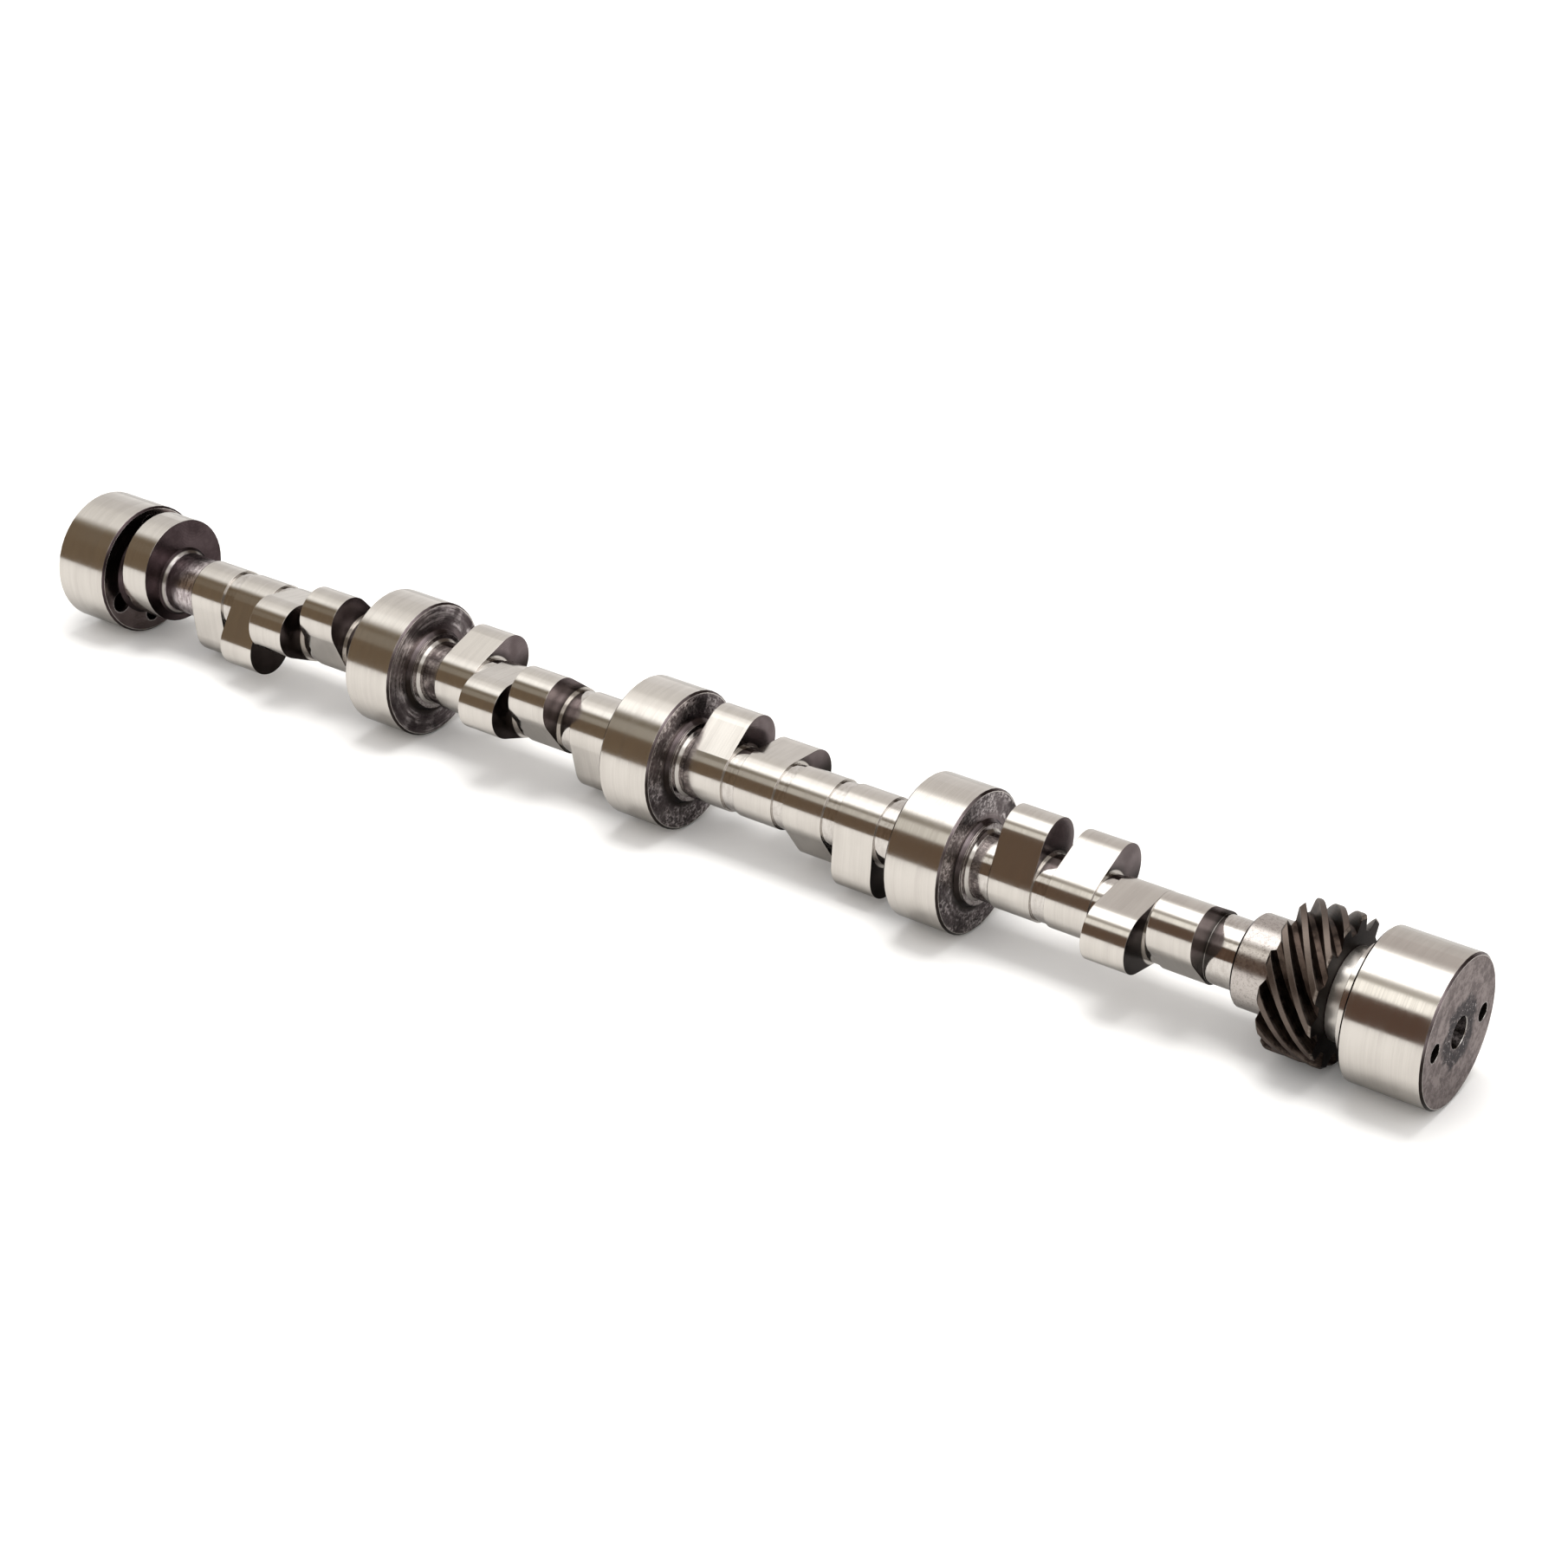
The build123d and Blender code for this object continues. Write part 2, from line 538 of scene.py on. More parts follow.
@dataclass(frozen=True)
class TurnedSteel:
    """Lathe-turned steel between the lobes and on the necks, with tool rings and a mottle."""

    bright: Colour = (0.74, 0.70, 0.66)
    dull: Colour = (0.60, 0.56, 0.52)
    roughness: float = 0.07
    spread: float = 0.05
    patches: Mottle = Mottle(detail=4.0, strength=0.6, stretch=(0.9, 0.3, 0.3))
    grit: Mottle = Mottle(scale=2.4, strength=0.6)
    shares: Pair = (0.6, 0.4)
    wear: Pair = (0.38, 0.6)
    ring_pitch: float = 0.4
    ring_height: float = 0.0012
    grit_height: float = 0.0008

    def skin(self, graph: Graph, place: Place) -> Skin:
        """Make the finish.

        Args:
            graph: The graph to add to.
            place: Where the surface lies.

        Returns:
            The finish.
        """
        rings = ridges(place.along, self.ring_pitch)
        patches = self.patches.wire(graph, place)
        grit = self.grit.wire(graph, place)
        wear = weighed((patches, grit), self.shares).rise(*self.wear)
        return Skin(
            colour=graph.blend(wear, self.dull, self.bright),
            roughness=self.roughness + patches * self.spread,
            height=rings * self.ring_height + grit * self.grit_height,
        )


@dataclass(frozen=True)
class SideFace:
    """Satin side of a lobe, collar or journal, dark from hardening, with rings from the cutter.

    The smears and specks are where the scale has worn through to metal. Painted shade darkens it
    low down and close to the shaft. A pair is where a mask starts and where it is full.
    """

    dark: Colour = (0.110, 0.086, 0.087)
    middle: Colour = (0.210, 0.174, 0.177)
    pale: Colour = (0.56, 0.51, 0.51)
    painted_shade: Colour = (0.016, 0.012, 0.010)
    roughness: float = 0.17
    spread: float = 0.1
    clouds: Mottle = Mottle(scale=0.13)
    grain: Mottle = Mottle(scale=2.6)
    shares: Triple = (0.6, 0.25, 0.15)
    tone: Pair = (0.36, 0.66)
    ring_pitch: float = 0.45
    ring_height: float = 0.003
    grain_height: float = 0.003
    smears: Mottle = Mottle(detail=6.0, strength=0.72, stretch=(0.9, 1.3, 1.3), polar=True)
    smear_limits: Pair = (0.42, 0.64)
    smear_share: float = 0.0
    specks: Mottle = Mottle(scale=0.85, detail=4.0, strength=0.75)
    speck_limits: Pair = (0.48, 0.60)
    speck_share: float = 0.0
    patches: Mottle = Mottle(scale=0.17, detail=2.0)
    patch_limits: Pair = (0.40, 0.60)
    patch_least: float = 0.15
    painted_shade_share: float = 0.0
    painted_shade_height: Pair = (3.0, -6.0)
    painted_shade_radius: Pair = (14.4, 11.7)
    root_shade_share: float = 0.9
    painted_shade_least: float = 0.75
    painted_shade_clouds: float = 0.4

    def skin(self, graph: Graph, place: Place) -> Skin:
        """Make the finish.

        Args:
            graph: The graph to add to.
            place: Where the surface lies.

        Returns:
            The finish.
        """
        clouds = self.clouds.wire(graph, place)
        grain = self.grain.wire(graph, place)
        rings = ridges(place.radius, self.ring_pitch)
        tone = weighed((clouds, grain, rings), self.shares)
        colour = graph.blend(tone.rise(*self.tone), self.dark, self.middle)
        if self.smear_share + self.speck_share > 0:
            colour = graph.blend(self._worn(graph, place), colour, self.pale)
        # Painted shade: the side is darkened low down and close to the shaft.
        if self.painted_shade_share > 0:
            near = place.radius.slope(*self.painted_shade_radius) * self.root_shade_share
            shade_depth = near.most(place.height.rise(*self.painted_shade_height))
            painted_shade = shade_depth * (self.painted_shade_least + clouds * self.painted_shade_clouds) * self.painted_shade_share
            colour = graph.blend(painted_shade.least(1.0), colour, self.painted_shade)
        return Skin(
            colour=colour,
            roughness=self.roughness + grain * self.spread,
            height=rings * self.ring_height + grain * self.grain_height,
        )

    def _worn(self, graph: Graph, place: Place) -> Wire:
        """Mask of the smears and specks of bare metal.

        Args:
            graph: The graph to add to.
            place: Where the surface lies.

        Returns:
            The mask.
        """
        smears = self.smears.wire(graph, place).rise(*self.smear_limits)
        specks = self.specks.wire(graph, place).rise(*self.speck_limits)
        patches = self.patches.wire(graph, place).rise(*self.patch_limits)
        worn = weighed((smears, specks), (self.smear_share, self.speck_share))
        return (worn * patches.lifted(self.patch_least)).least(1.0)


@dataclass(frozen=True)
class Hub:
    """Fine-sanded steel of the gear's hub, pale with small dark specks."""

    pale: Colour = (0.60, 0.555, 0.52)
    speck: Colour = (0.34, 0.30, 0.28)
    roughness: float = 0.17
    spread: float = 0.1
    specks: Mottle = Mottle(scale=0.9, detail=5.0, strength=0.7)
    grain: Mottle = Mottle(scale=2.8, strength=0.6)
    shares: Pair = (0.55, 0.45)
    tone: Pair = (0.34, 0.54)
    grain_height: float = 0.0028

    def skin(self, graph: Graph, place: Place) -> Skin:
        """Make the finish.

        Args:
            graph: The graph to add to.
            place: Where the surface lies.

        Returns:
            The finish.
        """
        specks = self.specks.wire(graph, place)
        grain = self.grain.wire(graph, place)
        tone = weighed((specks, grain), self.shares).rise(*self.tone)
        return Skin(
            colour=graph.blend(tone, self.speck, self.pale),
            roughness=self.roughness + specks * self.spread,
            height=grain * self.grain_height,
        )


@dataclass(frozen=True)
class DarkGear:
    """Blackened gear teeth under a film of oil, paler where the tops were turned.

    The tops are given painted light, palest high up on the gear, and their edges a painted
    highlight in places.
    """

    black: Colour = (0.023, 0.016, 0.013)
    brown: Colour = (0.118, 0.086, 0.070)
    land: Colour = (0.190, 0.154, 0.132)
    # Painted highlight on the tooth edges.
    tooth_edge_highlight: Colour = (0.30, 0.255, 0.22)
    roughness: float = 0.3
    spread: float = 0.16
    clouds: Mottle = Mottle(scale=0.3, detail=4.0, strength=0.6)
    grain: Mottle = Mottle(scale=2.2)
    streaks: Mottle = Mottle(stretch=(3.0, 1.5, 1.5), polar=True)
    shares: Pair = (0.6, 0.4)
    tone: Pair = (0.36, 0.64)
    top_radius: Pair = (22.7, 23.1)
    top_least: float = 0.55
    painted_light_height: Pair = (-18.0, 10.0)
    painted_light_least: float = 0.4
    edge: Ring = Ring(22.3, 23.1, blur=0.2)
    edge_highlight_patches: Pair = (0.36, 0.56)
    edge_facing: Pair = (0.9, 0.7)
    grain_height: float = 0.008

    def skin(self, graph: Graph, place: Place) -> Skin:
        """Make the finish.

        Args:
            graph: The graph to add to.
            place: Where the surface lies.

        Returns:
            The finish.
        """
        clouds = self.clouds.wire(graph, place)
        grain = self.grain.wire(graph, place)
        streaks = self.streaks.wire(graph, place)
        tone = weighed((clouds, streaks), self.shares).rise(*self.tone)
        flank = graph.blend(tone, self.black, self.brown)
        tops = place.radius.rise(*self.top_radius) * grain.lifted(self.top_least)
        # Painted light: the turned tops are paler the higher they sit on the gear.
        tops = tops * place.height.rise(*self.painted_light_height).lifted(self.painted_light_least)
        # Painted highlight: pale patches along the tooth edges.
        edges = self.edge.mask(place) * clouds.rise(*self.edge_highlight_patches)
        edges = edges * place.squareness.rise(*self.edge_facing)
        topped = graph.blend(tops, flank, self.land)
        return Skin(
            colour=graph.blend(edges, topped, self.tooth_edge_highlight),
            roughness=self.roughness + clouds * self.spread,
            height=grain * self.grain_height,
        )


@dataclass(frozen=True)
class EndFace:
    """Faced end of the shaft, matt grey, with a scratched stain round the centre."""

    grey: Colour = (0.330, 0.280, 0.272)
    shade: Colour = (0.156, 0.126, 0.124)
    stain: Colour = (0.036, 0.030, 0.033)
    scratch: Colour = (0.50, 0.46, 0.46)
    roughness: float = 0.34
    spread: float = 0.14
    smears: Mottle = Mottle(detail=5.0, strength=0.62, stretch=(0.4, 2.2, 2.2), polar=True)
    clouds: Mottle = Mottle(scale=0.2, detail=4.0, strength=0.65)
    grain: Mottle = Mottle(scale=0.7, detail=5.0, strength=0.75)
    nicks: Mottle = Mottle(scale=1.1, detail=2.0)
    shares: Triple = (0.25, 0.3, 0.45)
    tone: Pair = (0.43, 0.57)
    stain_radius: Pair = (4.8, 10.5)
    stain_blur: float = 2.0
    stain_wobble: float = 8.0
    stain_grain: Pair = (0.80, 0.46)
    nick_limits: Pair = (0.625, 0.68)
    ring_pitch: float = 2 * math.pi / 11
    ring_height: float = 0.003
    grain_height: float = 0.008

    def skin(self, graph: Graph, place: Place) -> Skin:
        """Make the finish.

        Args:
            graph: The graph to add to.
            place: Where the surface lies.

        Returns:
            The finish.
        """
        smears = self.smears.wire(graph, place)
        clouds = self.clouds.wire(graph, place)
        grain = self.grain.wire(graph, place)
        rings = ridges(place.radius, self.ring_pitch)
        tone = weighed((smears, clouds, grain), self.shares).rise(*self.tone)
        base = graph.blend(tone, self.shade, self.grey)
        wobble = place.radius + (clouds - 0.5) * self.stain_wobble
        stain = wobble.within(*self.stain_radius, self.stain_blur) * grain.rise(*self.stain_grain)
        stained = graph.blend(stain.least(1.0), base, self.stain)
        nicks = self.nicks.wire(graph, place).rise(*self.nick_limits) * stain
        return Skin(
            colour=graph.blend(nicks.least(1.0), stained, self.scratch),
            roughness=self.roughness + grain * self.spread,
            height=rings * self.ring_height + grain * self.grain_height,
        )


@dataclass(frozen=True)
class PlainSteel:
    """One even tone with a fine grain: painted highlights on rims and hole mouths, ledges, and
    painted shade in the step lines, hole walls, gear end and centres.
    """

    tone: Colour
    shade: Colour
    roughness: float
    grain_height: float = 0.002
    spread: float = 0.08
    grain: Mottle = Mottle(scale=1.8)
    limits: Pair = (0.35, 0.65)

    def skin(self, graph: Graph, place: Place) -> Skin:
        """Make the finish.

        Args:
            graph: The graph to add to.
            place: Where the surface lies.

        Returns:
            The finish.
        """
        grain = self.grain.wire(graph, place)
        return Skin(
            colour=graph.blend(grain.rise(*self.limits), self.shade, self.tone),
            roughness=self.roughness + grain * self.spread,
            height=grain * self.grain_height,
        )


WORN_TONES: tuple[Colour, Colour] = ((0.034, 0.025, 0.026), (0.120, 0.098, 0.101))
JOURNAL_BACK = Span(23.3, 23.9)
FRONT_FACE = Span(-0.3, 0.3)
REAR_FACE = Span(546.2, 546.8)


@dataclass(frozen=True)
class InTurn:
    """One finish before a place along the shaft and another after it."""

    before: Finish
    after: Finish
    change: Pair

    def skin(self, graph: Graph, place: Place) -> Skin:
        """Make the finish.

        Args:
            graph: The graph to add to.
            place: Where the surface lies.

        Returns:
            The finish.
        """
        before = self.before.skin(graph, place)
        return self.after.skin(graph, place).under(before, place.along.rise(*self.change))


@dataclass(frozen=True)
class Finishes:
    """The shaft's finishes, named by what they lie on."""

    journal: Finish = GroundSteel()
    neck: Finish = TurnedSteel()
    front_neck: Finish = TurnedSteel(
        bright=(0.80, 0.73, 0.73), dull=(0.30, 0.25, 0.255), roughness=0.20, grit_height=0.010
    )
    # Painted shade: the thin dark line in the step where a neck meets its first lobe.
    first_step_shade: Finish = PlainSteel(
        tone=(0.06, 0.045, 0.04), shade=(0.03, 0.022, 0.02), roughness=0.3
    )
    hub: Finish = Hub()
    gear_foot: Finish = GroundSteel(roughness=0.28)
    # Painted shade: the deep gap between the front journal and the eccentric, darker than the other
    # sides.
    front_gap: Finish = SideFace(
        dark=(0.026, 0.019, 0.019), middle=(0.085, 0.066, 0.068), roughness=0.2
    )
    # Painted shade darkens these sides low down and close to the shaft.
    lobe_side: Finish = SideFace(painted_shade_share=1.0, painted_shade_height=(9.5, 1.0))
    collar_end: Finish = PlainSteel(
        tone=(0.36, 0.33, 0.32), shade=(0.12, 0.10, 0.10), roughness=0.12
    )
    # The eccentric's sides are darker in themselves, and take half the painted shade.
    eccentric_side: Finish = SideFace(
        dark=(0.044, 0.030, 0.032), middle=(0.100, 0.074, 0.078), painted_shade_share=0.5, roughness=0.2
    )
    front_side: Finish = SideFace(
        dark=(0.080, 0.060, 0.057), middle=(0.200, 0.158, 0.152), smear_share=0.25
    )
    journal_side: Finish = InTurn(
        before=SideFace(*WORN_TONES, roughness=0.25, smear_share=0.95, speck_share=0.25),
        after=SideFace(*WORN_TONES, roughness=0.25, smear_share=0.45, speck_share=1.0),
        change=(210.0, 200.0),
    )
    gear: Finish = DarkGear()
    # Painted shade on the hole walls and on the gear's rear face beside the collar.
    painted_hollow_shade: Finish = PlainSteel(
        tone=(0.040, 0.032, 0.029), shade=(0.022, 0.017, 0.015), roughness=0.42
    )
    end_face: Finish = EndFace()
    # Painted highlight along the journal rims and round the small hole in each centre.
    rim_highlight: Finish = PlainSteel(
        tone=(0.72, 0.68, 0.64), shade=(0.60, 0.56, 0.53), roughness=0.2
    )
    # Painted highlight round the mouths of the holes.
    mouth_highlight: Finish = PlainSteel(
        tone=(0.46, 0.42, 0.41), shade=(0.20, 0.175, 0.17), roughness=0.22
    )
    # Painted shade in the centre drillings.
    centre: Finish = PlainSteel(
        tone=(0.040, 0.034, 0.033),
        shade=(0.010, 0.008, 0.008),
        roughness=0.14,
        grain_height=0.03,
    )


@dataclass(frozen=True)
class ShaftSteel:
    """The shaft's whole surface: each finish on the stretch of the shaft that carries it.

    A pair is where a mask starts and where it is full.
    """

    finishes: Finishes = Finishes()
    front_journal: Span = Span(0.5, 23.3)
    front_side: Span = Span(23.3, 24.2)
    front_gap: Span = Span(23.5, 29.2)
    eccentric: Span = Span(23.0, 43.0)
    front_neck: Span = Span(41.5, 55.9)
    hub: Span = Span(480.8, 494.1)
    gear: Span = Span(493.9, 512.0)
    gear_end: Span = Span(511.65, 511.95)
    gear_foot: Span = Span(511.6, 516.2)
    rear_holes: Span = Span(529.0, 546.3)
    front_end: Pair = (0.35, 0.25)
    rear_end: Pair = (546.2, 546.3)
    front_centre_start: Pair = (-4.97, -4.93)
    front_centre_end: Pair = (8.0, 7.9)
    last_steps: Pair = (463.0, 468.0)
    first_edges: Stations = Stations((55.95, 172.55, 279.47, 396.07), 0.12, 0.22, blur=0.06)
    journal_sides: Stations = Stations(JOURNAL_SIDES, 0.3, 0.3)
    collar_ends: Stations = Stations(JOURNAL_SIDES, 2.3, 2.3)
    neck_radius: Pair = (11.15, 10.95)
    step_radius: Pair = (11.5, 12.0)
    first_edge_radius: Pair = (11.7, 11.5)
    worn_radius: Pair = (14.6, 17.6)
    gap_radius: Pair = (18.0, 17.5)
    gear_radius: Pair = (14.8, 14.9)
    gear_foot_radius: Pair = (15.2, 14.9)
    gear_end_radius: Pair = (22.6, 22.2)
    centre_radius: Pair = (5.15, 5.10)
    collar_flats: Ring = Ring(11.3, 13.7, blur=0.15)
    hole_walls: Ring = Ring(12.7, 22.73)
    rim_highlight: Ring = Ring(22.81, 23.06, blur=0.08)
    centre_glint: Ring = Ring(1.55, 2.3, blur=0.2)
    square_facing: Pair = (0.80, 0.92)
    sloped_facing: Pair = (0.45, 0.62)
    step_least: float = 0.25
    first_edge_share: float = 0.85
    mouths: tuple[Mouth, ...] = (
        *(Mouth(BOLT_CIRCLE, turn, radius=4.0, span=JOURNAL_BACK) for turn in BOLT_TURNS),
        *(Mouth(BOLT_CIRCLE, turn, radius=3.7, span=FRONT_FACE) for turn in BOLT_TURNS),
        Mouth(BOLT_CIRCLE, DOWEL_TURN, radius=3.0, span=JOURNAL_BACK),
        Mouth(BOLT_CIRCLE, DOWEL_TURN, radius=4.0, span=FRONT_FACE),
        *(Mouth(DRIVE_CIRCLE, turn, radius=2.9, span=REAR_FACE, width=0.3) for turn in DRIVE_TURNS),
    )
    bevel: float = 0.26
    bevel_samples: int = 4
    edge_tint: Colour = (0.7, 0.7, 0.7)

    def material(self) -> bpy.types.Material:
        """Build the material.

        Returns:
            The finished material.
        """
        material = bpy.data.materials.new("camshaft_steel")
        material.use_nodes = True
        graph = Graph(material.node_tree)
        skin = self._skin(graph, Place.on(graph))
        bevel = graph.node(
            "ShaderNodeBevel", {"samples": self.bevel_samples}, {"Radius": self.bevel * MM}
        )
        relief = graph.node(
            "ShaderNodeBump",
            {},
            {
                "Strength": 1.0,
                "Distance": MM,
                "Height": skin.height,
                "Normal": bevel.outputs["Normal"],
            },
        )
        shader = graph.node(
            "ShaderNodeBsdfPrincipled",
            {"distribution": "MULTI_GGX"},
            {
                "Base Color": skin.colour,
                "Metallic": 1.0,
                "Specular Tint": self.edge_tint,
                "Roughness": skin.roughness,
                "Normal": relief.outputs["Normal"],
            },
        )
        graph.node("ShaderNodeOutputMaterial", {}, {"Surface": shader.outputs["BSDF"]})
        return material

    def _skin(self, graph: Graph, place: Place) -> Skin:
        """Lay the finishes over each other.

        Args:
            graph: The graph to add to.
            place: Where the surface lies.

        Returns:
            The finish of the whole shaft.
        """
        looks = self.finishes
        square = place.squareness.rise(*self.square_facing)
        steps = place.radius.rise(*self.step_radius).most(place.along.rise(*self.last_steps))
        sloped = place.squareness.rise(*self.sloped_facing) * steps.lifted(self.step_least)
        neck = place.radius.rise(*self.neck_radius)
        gear = self.gear.mask(place) * place.radius.rise(*self.gear_radius)
        foot = self.gear_foot.mask(place) * place.radius.rise(*self.gear_foot_radius)
        gap = self.front_gap.mask(place) * place.radius.rise(*self.gap_radius)
        gear_end = self.gear_end.mask(place) * place.radius.rise(*self.gear_end_radius)
        collar_ends = self.collar_ends.mask(place) * self.collar_flats.mask(place)
        mouths = total(mouth.mask(place) for mouth in self.mouths)
        centres = self._centres(place)
        skin = looks.journal.skin(graph, place)
        for finish, mask in (
            (looks.neck, neck),
            (looks.front_neck, self.front_neck.mask(place) * neck),
            # Painted shade in the step where each neck meets its first lobe.
            (looks.first_step_shade, self._first_edges(place)),
            (looks.hub, self.hub.mask(place)),
            (looks.gear_foot, foot),
            # Painted shade in the gap between the front journal and the eccentric.
            (looks.front_gap, gap),
            (looks.lobe_side, sloped),
            (looks.collar_end, collar_ends * square),
            (looks.eccentric_side, self.eccentric.mask(place) * sloped),
            (looks.front_side, self.front_side.mask(place) * square),
            (looks.journal_side, self._journal_sides(place) * square),
            (looks.gear, gear),
            # Painted shade on the gear's rear face.
            (looks.painted_hollow_shade, gear_end),
            (looks.end_face, self._ends(place) * square),
            # Painted highlight along the journal rims.
            (looks.rim_highlight, self.rim_highlight.mask(place) * square * (1 - gear)),
            # Painted highlight round the mouths of the holes.
            (looks.mouth_highlight, mouths * square),
            # Painted shade on the hole walls.
            (looks.painted_hollow_shade, self._hole_walls(place)),
            # Painted shade in the centre drillings.
            (looks.centre, centres),
            # Painted glint round the small hole at the bottom of each centre.
            (looks.rim_highlight, centres * self.centre_glint.mask(place)),
        ):
            skin = skin.under(finish.skin(graph, place), mask)
        return skin

    def _first_edges(self, place: Place) -> Wire:
        """Mask of the painted shade: a thin dark line in the step where a neck meets its first
        lobe.
        """
        low = place.radius.rise(*self.first_edge_radius)
        return self.first_edges.mask(place) * low * self.first_edge_share

    def _journal_sides(self, place: Place) -> Wire:
        """Mask of the worn sides of the middle journals, fading towards the collar."""
        return self.journal_sides.mask(place) * place.radius.rise(*self.worn_radius)

    def _ends(self, place: Place) -> Wire:
        """Mask of both ends of the shaft."""
        rear = place.along.rise(*self.rear_end)
        return (rear + place.along.rise(*self.front_end)).least(1.0)

    def _hole_walls(self, place: Place) -> Wire:
        """Mask of the walls of the sprocket, dowel and drive holes, which take painted shade."""
        bored = self.front_journal.mask(place) + self.rear_holes.mask(place)
        return bored * self.hole_walls.mask(place)

    def _centres(self, place: Place) -> Wire:
        """Mask of the centre drillings in both ends, which take painted shade.

        Args:
            place: Where the surface lies.

        Returns:
            The mask.
        """
        inside = place.along.rise(*self.front_centre_end)
        front = inside * place.along.rise(*self.front_centre_start)
        return (front + self.rear_holes.mask(place)) * place.radius.rise(*self.centre_radius)


@dataclass
class Camshaft:
    """The camshaft itself, which is the CAD solid in its finish."""

    node: str = SHAFT_NODE
    steel: ShaftSteel = ShaftSteel()

    def build(self) -> bpy.types.Object:
        """Dress the CAD solid.

        Returns:
            The dressed object.
        """
        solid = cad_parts[self.node]
        material = self.steel.material()
        for slot in solid.material_slots:
            slot.material = material
        return solid


@dataclass
class Floor:
    """Plain pale floor that runs far beyond the view, and dimmer in the steel than to the eye."""

    half_width: float = 30.0
    height: float = -23.73 * MM
    colour: Colour = (0.85, 0.845, 0.84)
    mirrored: Colour = (0.585, 0.58, 0.575)
    roughness: float = 0.9
    shine: float = 0.1

    def build(self) -> bpy.types.Object:
        """Make the floor.

        Returns:
            The floor.
        """
        w = self.half_width
        mesh = bpy.data.meshes.new("floor")
        corners = [(-w, -w, 0), (w, -w, 0), (w, w, 0), (-w, w, 0)]
        mesh.from_pydata(corners, [], [(0, 1, 2, 3)])
        floor = bpy.data.objects.new("floor", mesh)
        floor.location.z = self.height
        bpy.context.scene.collection.objects.link(floor)
        mesh.materials.append(self._material())
        return floor

    def _material(self) -> bpy.types.Material:
        """Build the floor's matt paint.

        Returns:
            The finished material.
        """
        material = bpy.data.materials.new("floor_paint")
        material.use_nodes = True
        graph = Graph(material.node_tree)
        seen, mirrored = (
            graph.node(
                "ShaderNodeBsdfPrincipled",
                {},
                {
                    "Base Color": colour,
                    "Roughness": self.roughness,
                    "Specular IOR Level": self.shine,
                },
            )
            for colour in (self.colour, self.mirrored)
        )
        glossy = graph.node("ShaderNodeLightPath").outputs["Is Glossy Ray"]
        shader = graph.node(
            "ShaderNodeMixShader",
            {},
            {0: glossy, 1: seen.outputs["BSDF"], 2: mirrored.outputs["BSDF"]},
        )
        graph.node("ShaderNodeOutputMaterial", {}, {"Surface": shader.outputs[0]})
        return material


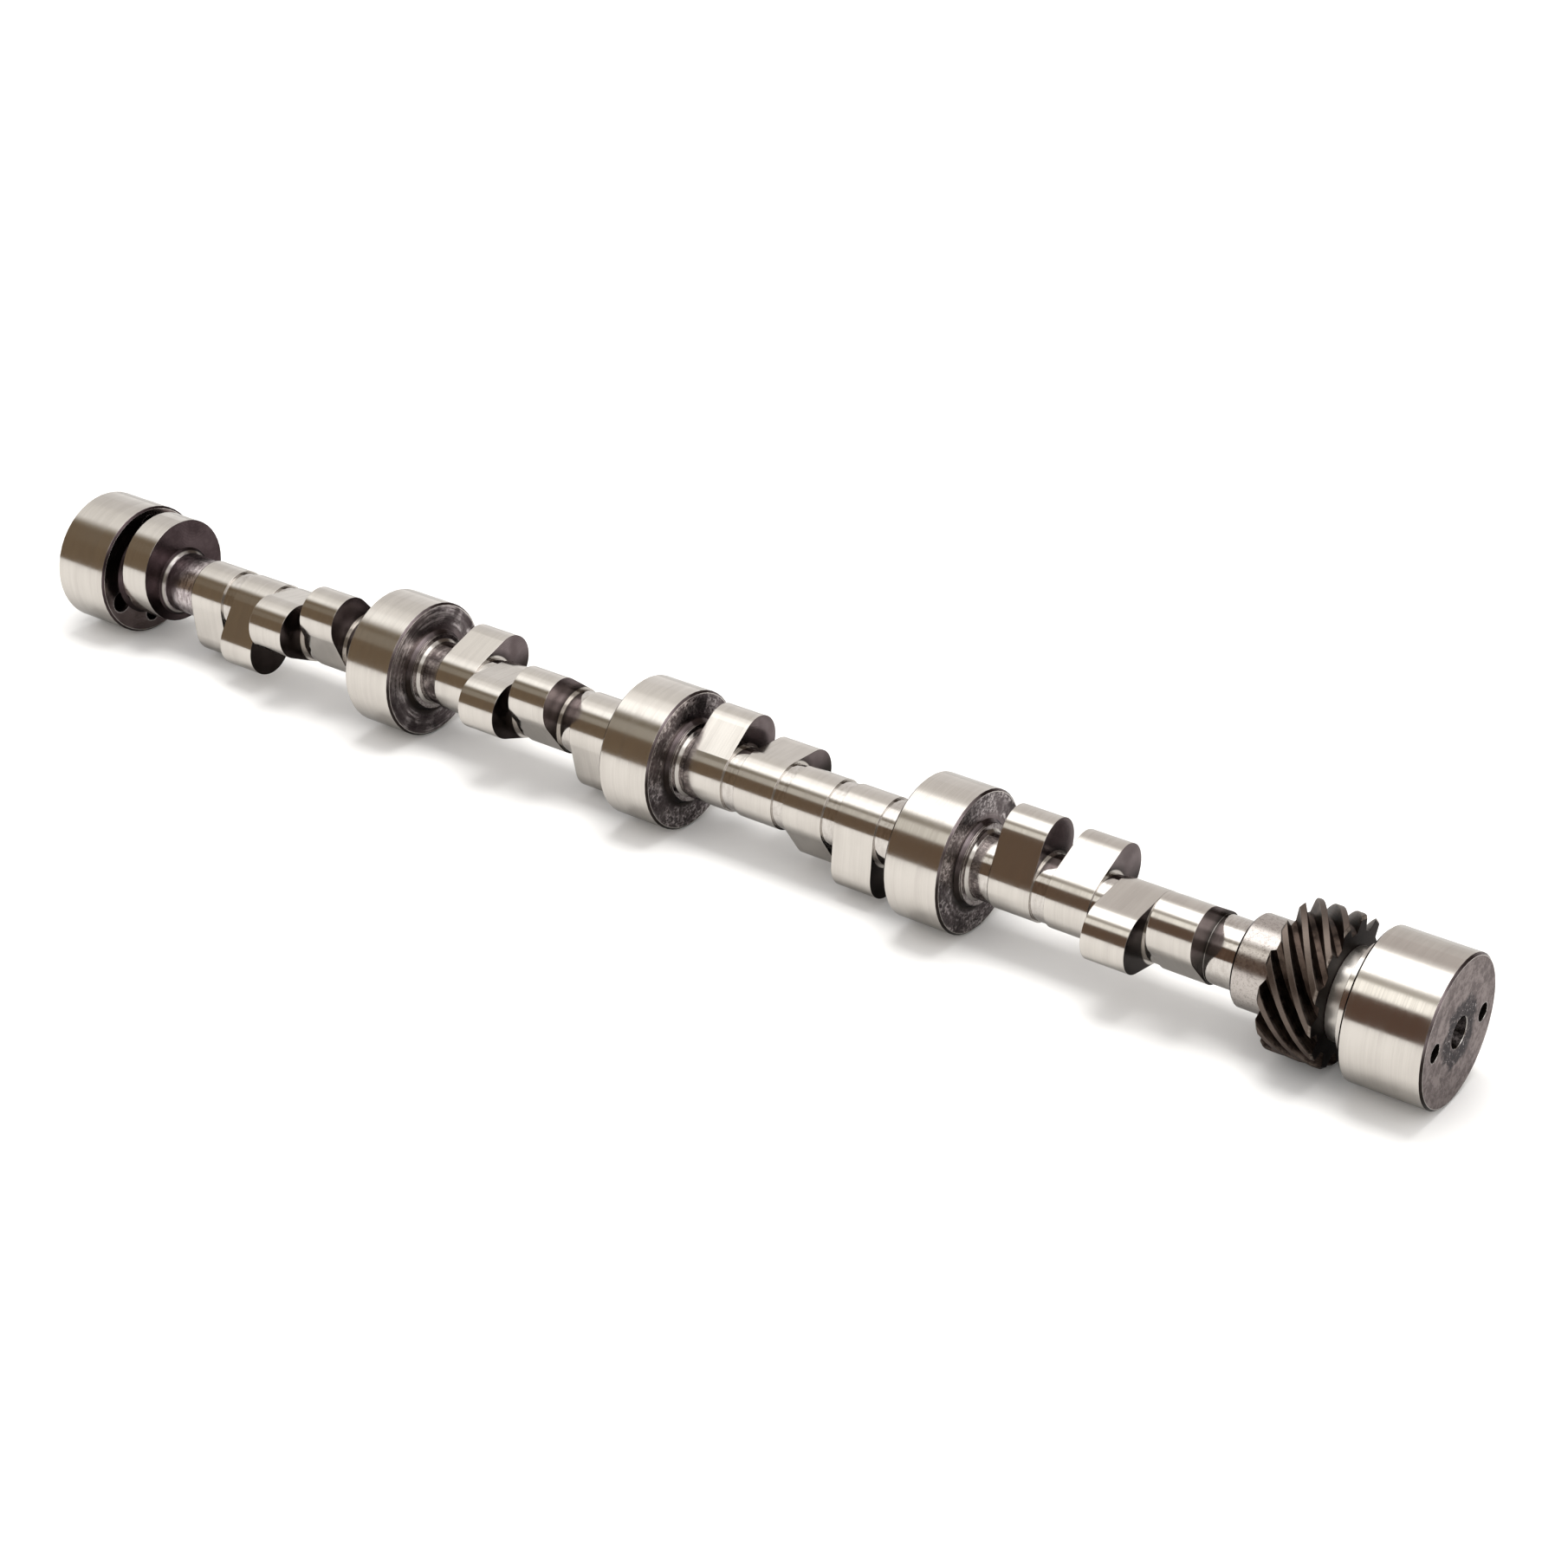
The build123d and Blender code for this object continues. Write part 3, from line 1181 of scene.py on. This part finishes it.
@dataclass
class Surroundings:
    """Soft studio light from all round.

    Each set of bands is the light by its angle round the shaft: 0 level on the near side, 90
    overhead and 180 level behind. A slant is how far a direction leans towards the front of the
    shaft, and each set takes over from the one before it between two slants.
    """

    backdrop: Colour = (0.99, 0.99, 0.99)
    fill: Colour = (1.17, 1.155, 1.135)
    front: Bands = (
        (-90.0, (0.50, 0.48, 0.45)),
        (4.0, (0.172, 0.126, 0.082)),
        (68.0, (0.172, 0.126, 0.082)),
        (74.0, (0.25, 0.21, 0.16)),
        (79.0, (0.52, 0.49, 0.45)),
        (84.0, (0.86, 0.84, 0.81)),
        (112.0, (0.84, 0.82, 0.79)),
        (122.0, (0.74, 0.72, 0.70)),
        (152.0, (0.78, 0.76, 0.75)),
        (168.0, (1.08, 1.07, 1.06)),
        (180.0, (1.38, 1.37, 1.36)),
    )
    middle: Bands = (
        (-90.0, (0.50, 0.48, 0.45)),
        (4.0, (0.172, 0.126, 0.082)),
        (38.5, (0.150, 0.106, 0.068)),
        (42.0, (0.33, 0.30, 0.25)),
        (57.0, (0.33, 0.30, 0.25)),
        (60.0, (0.19, 0.16, 0.12)),
        (65.0, (0.19, 0.16, 0.12)),
        (69.0, (0.33, 0.30, 0.25)),
        (74.0, (1.05, 1.04, 1.02)),
        (78.0, (1.55, 1.55, 1.52)),
        (92.0, (1.50, 1.50, 1.47)),
        (98.0, (1.15, 1.13, 1.10)),
        (112.0, (0.98, 0.96, 0.93)),
        (117.0, (0.82, 0.80, 0.77)),
        (150.0, (0.85, 0.83, 0.82)),
        (168.0, (1.06, 1.04, 1.03)),
        (180.0, (1.32, 1.30, 1.29)),
    )
    rear: Bands = (
        (-90.0, (0.50, 0.48, 0.45)),
        (4.0, (0.100, 0.058, 0.042)),
        (38.5, (0.100, 0.058, 0.042)),
        (43.0, (1.45, 1.43, 1.36)),
        (57.0, (1.45, 1.43, 1.36)),
        (60.0, (0.48, 0.45, 0.40)),
        (65.0, (0.48, 0.45, 0.40)),
        (69.0, (0.80, 0.78, 0.74)),
        (74.0, (2.4, 2.4, 2.4)),
        (108.0, (2.4, 2.4, 2.4)),
        (114.0, (0.85, 0.82, 0.80)),
        (124.0, (0.54, 0.50, 0.48)),
        (150.0, (0.65, 0.61, 0.59)),
        (168.0, (0.72, 0.69, 0.67)),
        (180.0, (0.90, 0.87, 0.85)),
    )
    beyond: Bands = (
        (-90.0, (0.50, 0.48, 0.45)),
        (4.0, (0.30, 0.27, 0.24)),
        (35.0, (0.30, 0.27, 0.24)),
        (42.0, (1.1, 1.08, 1.05)),
        (72.0, (0.9, 0.88, 0.86)),
        (76.0, (2.2, 2.2, 2.2)),
        (108.0, (2.2, 2.2, 2.2)),
        (114.0, (0.80, 0.78, 0.76)),
        (140.0, (0.62, 0.60, 0.58)),
        (144.0, (0.12, 0.095, 0.08)),
        (170.0, (0.12, 0.095, 0.08)),
        (175.0, (0.60, 0.58, 0.56)),
    )
    middle_slant: Pair = (0.95, 0.66)
    rear_slant: Pair = (0.66, 0.35)
    beyond_slant: Pair = (0.3, 0.02)
    least_reach: float = 0.001

    def build(self) -> bpy.types.World:
        """Make the world.

        Returns:
            The world, set on the scene.
        """
        world = bpy.data.worlds.new("studio")
        bpy.context.scene.world = world
        world.use_nodes = True
        graph = Graph(world.node_tree)
        x, y, z = graph.parts(graph.node("ShaderNodeTexCoord").outputs["Generated"])
        share = graph.maths(Maths.ANGLE, z, y * -1.0) / (2 * math.pi) + 0.5
        slant = x * -1.0 / (y * y + z * z).root().most(self.least_reach)
        colour = self._ramp(graph, share, self.front)
        for bands, limits in (
            (self.middle, self.middle_slant),
            (self.rear, self.rear_slant),
            (self.beyond, self.beyond_slant),
        ):
            colour = graph.blend(slant.slope(*limits), colour, self._ramp(graph, share, bands))
        light, plain, soft = (
            graph.node("ShaderNodeBackground", {}, {"Color": shown, "Strength": 1.0})
            for shown in (colour, self.backdrop, self.fill)
        )
        path = graph.node("ShaderNodeLightPath")
        shader = light
        for ray, other in (("Is Diffuse Ray", soft), ("Is Camera Ray", plain)):
            shader = graph.node(
                "ShaderNodeMixShader",
                {},
                {0: path.outputs[ray], 1: shader.outputs[0], 2: other.outputs[0]},
            )
        graph.node("ShaderNodeOutputWorld", {}, {"Surface": shader.outputs[0]})
        return world

    @staticmethod
    def _ramp(graph: Graph, share: Wire, bands: Bands) -> Wire:
        """Turn one set of bands into light.

        Args:
            graph: The graph to add to.
            share: The angle round the shaft, from 0 at -180 to 1 at 180 degrees.
            bands: The angles and their light.

        Returns:
            The light in that direction.
        """
        stops = [(angle / 360 + 0.5, colour) for angle, colour in bands]
        node = graph.node("ShaderNodeValToRGB", {"stops": stops}, {"Fac": share})
        return Wire(graph, node.outputs["Color"])


@dataclass
class SoftBox:
    """A rectangular studio lamp that the camera doesn't see."""

    name: str
    place: Triple
    aim: Triple
    width: float
    depth: float
    power: float
    colour: Colour = (1.0, 0.99, 0.97)

    def build(self) -> bpy.types.Object:
        """Make the lamp.

        Returns:
            The lamp, turned to its aim.
        """
        light = bpy.data.lights.new(self.name, "AREA")
        light.shape = "RECTANGLE"
        light.size, light.size_y = self.width, self.depth
        light.energy = self.power
        light.color = self.colour
        lamp = bpy.data.objects.new(self.name, light)
        lamp.location = self.place
        towards = Vector(self.aim) - Vector(self.place)
        lamp.rotation_euler = towards.to_track_quat("-Z", "Y").to_euler()
        lamp.visible_camera = False
        lamp.visible_glossy = False
        bpy.context.scene.collection.objects.link(lamp)
        return lamp


@dataclass
class Viewpoint:
    """The camera."""

    place: Triple = (0.82662, -0.70498, 0.48416)
    turn: float = 36.152
    dip: float = 28.839
    sensor: float = 36.0
    lens: float = 71.673
    clip: Pair = (0.01, 200.0)

    def build(self) -> bpy.types.Object:
        """Make the camera and give it to the scene.

        Returns:
            The camera.
        """
        data = bpy.data.cameras.new("viewpoint")
        data.sensor_width = self.sensor
        data.lens = self.lens
        data.clip_start, data.clip_end = self.clip
        camera = bpy.data.objects.new("viewpoint", data)
        camera.location = self.place
        camera.rotation_euler = (math.radians(90 - self.dip), 0.0, math.radians(self.turn))
        bpy.context.scene.collection.objects.link(camera)
        bpy.context.scene.camera = camera
        return camera


def main() -> None:
    """Build the camshaft's looks, the studio and the camera, in that order."""
    logging.basicConfig(level=logging.INFO, format="%(name)s: %(message)s")
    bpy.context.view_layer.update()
    bpy.context.scene.view_settings.view_transform = "Standard"
    pieces = [
        Camshaft(),
        Floor(),
        Surroundings(),
        SoftBox(
            "key",
            place=(0.27, 0.2, 1.6),
            aim=(0.27, 0.0, 0.0),
            width=1.1,
            depth=0.7,
            power=19.0,
        ),
        Viewpoint(),
    ]
    for piece in pieces:
        made = piece.build()
        log.info("%s made", made.name)


if __name__ == "__main__":
    main()
